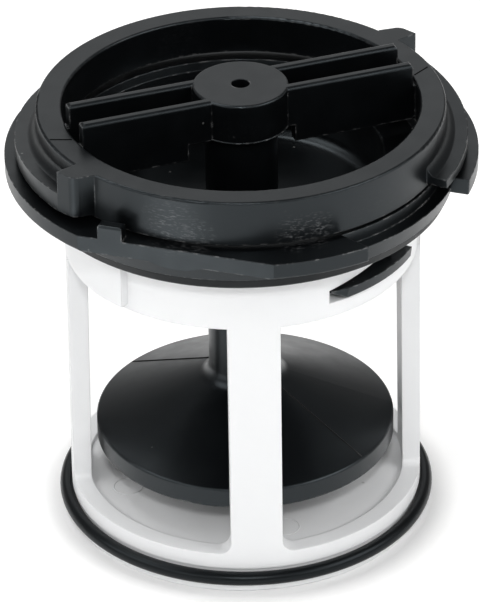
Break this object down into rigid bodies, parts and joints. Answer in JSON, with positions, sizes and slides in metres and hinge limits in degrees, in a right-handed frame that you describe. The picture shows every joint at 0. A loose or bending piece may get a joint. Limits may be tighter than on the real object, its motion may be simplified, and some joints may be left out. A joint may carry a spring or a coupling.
{
  "type": "washer pump filter",
  "caption": "Washing machine drain pump filter: black bayonet knob with finger bar on a keyed flange with gasket, stem with conical deflector, and a white windowed cage with seal ring.",
  "frame": {"origin": "centre of the underside of the base, on the filter's axis", "axes": "+Z along the filter's axis from the base to the knob, +X to the right as pictured"},
  "size_m": [0.0766, 0.0764, 0.0781],
  "materials": {
    "white_plastic": "satin",
    "black_plastic": "satin",
    "black_rubber": "matte"
  },
  "bodies": {
    "filter": {"cage": "white_plastic", "seal_ring": "black_rubber", "gasket": "black_rubber", "flange_body": "black_plastic"},
    "knob": {"knob": "black_plastic"}
  },
  "joints": [
    {"name": "knob_turn", "type": "hinge", "parent": "filter", "child": "knob", "pos_m": [0, 0, 0.0736], "axis": [0, 0, 1], "range_deg": [-93.5, 6.5]}
  ]
}
